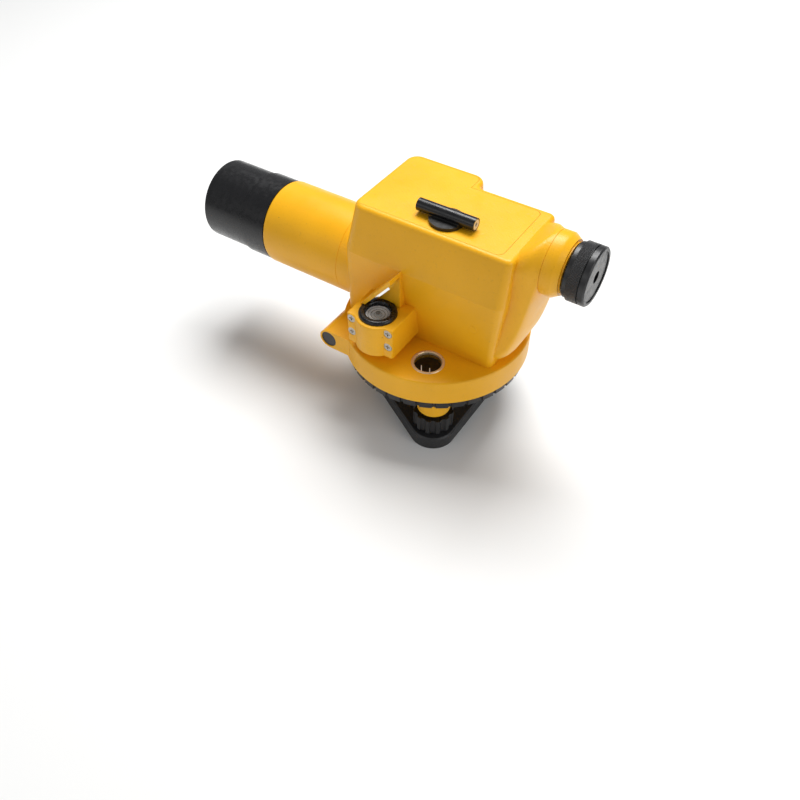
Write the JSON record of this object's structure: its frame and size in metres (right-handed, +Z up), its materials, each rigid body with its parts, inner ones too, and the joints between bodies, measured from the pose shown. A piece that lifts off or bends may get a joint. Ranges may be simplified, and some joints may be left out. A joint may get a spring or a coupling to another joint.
{
  "type": "automatic level",
  "caption": "Surveyor's automatic level with an offset eyepiece, bull's-eye vial under a mirror hood, horizontal circle and a three-screw levelling base.",
  "frame": {"origin": "centre of the tripod thread on the underside of the base plate", "axes": "+Z up along the vertical axle, +X towards the eyepiece, so the objective looks along -X and the vial is on the -Y side"},
  "size_m": [0.2641, 0.1228, 0.1522],
  "materials": {
    "yellow_paint": "semi-gloss enamel over a casting",
    "black_paint": "satin black",
    "black_anodised": "satin black anodised",
    "bare_aluminium": "fine turned",
    "steel": "ground",
    "brass": "turned",
    "black_plastic": "satin moulded",
    "pale_plastic": "matt moulded",
    "rubber": "matt",
    "glass": "polished and coated",
    "mirror": "silvered",
    "circle_scale": "satin with engraved divisions"
  },
  "bodies": {
    "base": {"base_plate": "black_paint", "spring_plate": "steel", "spring_screws": "steel"},
    "foot_1_ball": {"foot_ball_1": "steel"},
    "foot_screw_1": {"foot_spindle_1": "steel", "foot_knob_1": "black_plastic"},
    "foot_screw_2": {"foot_spindle_2": "steel", "foot_knob_2": "black_plastic"},
    "foot_screw_3": {"foot_spindle_3": "steel", "foot_knob_3": "black_plastic"},
    "tribrach": {"tribrach_body": "yellow_paint", "bearing_bushes": "brass"},
    "circle": {"circle_ring": "black_plastic", "horizontal_circle": "circle_scale"},
    "head": {"circle_housing": "yellow_paint", "window_ring": "black_anodised", "window_glass": "glass", "circle_index": "pale_plastic", "vertical_axle": "steel", "axle_screws": "steel", "axle_nut": "brass", "clamp_arm": "steel", "tangent_bush": "brass", "spring_plunger": "steel", "tangent_plug": "black_plastic", "main_housing": "yellow_paint", "cover_gasket": "rubber", "top_cover": "yellow_paint", "sight_foot": "black_anodised", "sight_tube": "black_anodised", "sight_eyelet": "pale_plastic", "telescope_barrel": "yellow_paint", "lens_hood": "black_anodised", "objective_cell": "black_anodised", "objective_lens": "glass", "focus_bush": "brass", "compensator_frame": "bare_aluminium", "erecting_prism": "glass", "suspension_ribbons": "steel", "damper_cup": "brass", "reticle": "glass", "eyepiece_collar": "yellow_paint", "vial_bracket": "yellow_paint", "vial_screws": "steel", "circular_vial": "glass", "vial_bezel": "black_anodised", "mirror_hood": "yellow_paint", "vial_mirror": "mirror"},
    "tangent_drive": {"tangent_screw": "steel", "tangent_knob": "black_plastic"},
    "focus_drive": {"focus_shaft": "steel", "focus_knob": "black_plastic"},
    "focus_lens": {"focusing_cell": "bare_aluminium", "focusing_lens": "glass"},
    "eyepiece_tube": {"eyepiece_cell": "black_anodised", "eyepiece_lenses": "glass"},
    "dioptre_ring": {"eyepiece_ring": "black_anodised", "eye_cap": "black_plastic"},
    "pendulum": {"pendulum": "bare_aluminium", "pendulum_mirror": "mirror"}
  },
  "joints": [
    {"name": "level_tilt", "type": "hinge", "parent": "base", "child": "tribrach", "pos_m": [0.022, 0, 0.0054], "axis": [0, 1, 0], "range_deg": [-1.2, 1.2]},
    {"name": "foot_1_lift", "type": "slide", "parent": "tribrach", "child": "foot_1_ball", "axis": [0, 0, 1], "range_m": [-0.0015, 0.0015]},
    {"name": "foot_1_turn", "type": "hinge", "parent": "foot_1_ball", "child": "foot_screw_1", "pos_m": [-0.044, 0, 0.0175], "axis": [0, 0, 1], "range_deg": [-360, 360]},
    {"name": "foot_2_turn", "type": "hinge", "parent": "tribrach", "child": "foot_screw_2", "pos_m": [0.022, 0.0381, 0.0175], "axis": [0, 0, 1], "range_deg": [-360, 360]},
    {"name": "foot_3_turn", "type": "hinge", "parent": "tribrach", "child": "foot_screw_3", "pos_m": [0.022, -0.0381, 0.0175], "axis": [0, 0, 1], "range_deg": [-360, 360]},
    {"name": "circle_turn", "type": "hinge", "parent": "tribrach", "child": "circle", "pos_m": [0, 0, 0.0404], "axis": [0, 0, 1], "continuous": true},
    {"name": "head_turn", "type": "hinge", "parent": "tribrach", "child": "head", "pos_m": [0, 0, 0.055], "axis": [0, 0, 1], "continuous": true},
    {"name": "tangent_turn", "type": "hinge", "parent": "head", "child": "tangent_drive", "pos_m": [-0.05, 0.042, 0.0543], "axis": [0, 1, 0], "range_deg": [-720, 720]},
    {"name": "focus_turn", "type": "hinge", "parent": "head", "child": "focus_drive", "pos_m": [-0.022, 0.036, 0.103], "axis": [0, 1, 0], "range_deg": [-110, 110]},
    {"name": "focus_slide", "type": "slide", "parent": "head", "child": "focus_lens", "axis": [1, 0, 0], "range_m": [-0.0076, 0.0076]},
    {"name": "eyepiece_travel", "type": "slide", "parent": "head", "child": "eyepiece_tube", "axis": [1, 0, 0], "range_m": [-0.00119, 0.00119]},
    {"name": "dioptre_turn", "type": "hinge", "parent": "eyepiece_tube", "child": "dioptre_ring", "pos_m": [0.089, 0, 0.1338], "axis": [1, 0, 0], "range_deg": [-150, 150]},
    {"name": "compensator_swing", "type": "hinge", "parent": "head", "child": "pendulum", "pos_m": [0.022, 0, 0.1185], "axis": [0, 1, 0], "range_deg": [-0.3, 0.3]}
  ],
  "couplings": [
    {"joint": "foot_1_lift", "follows": "level_tilt", "m_per_rad": -0.066},
    {"joint": "focus_turn", "follows": "focus_slide", "rad_per_m": -250},
    {"joint": "dioptre_turn", "follows": "eyepiece_travel", "rad_per_m": 2198}
  ]
}
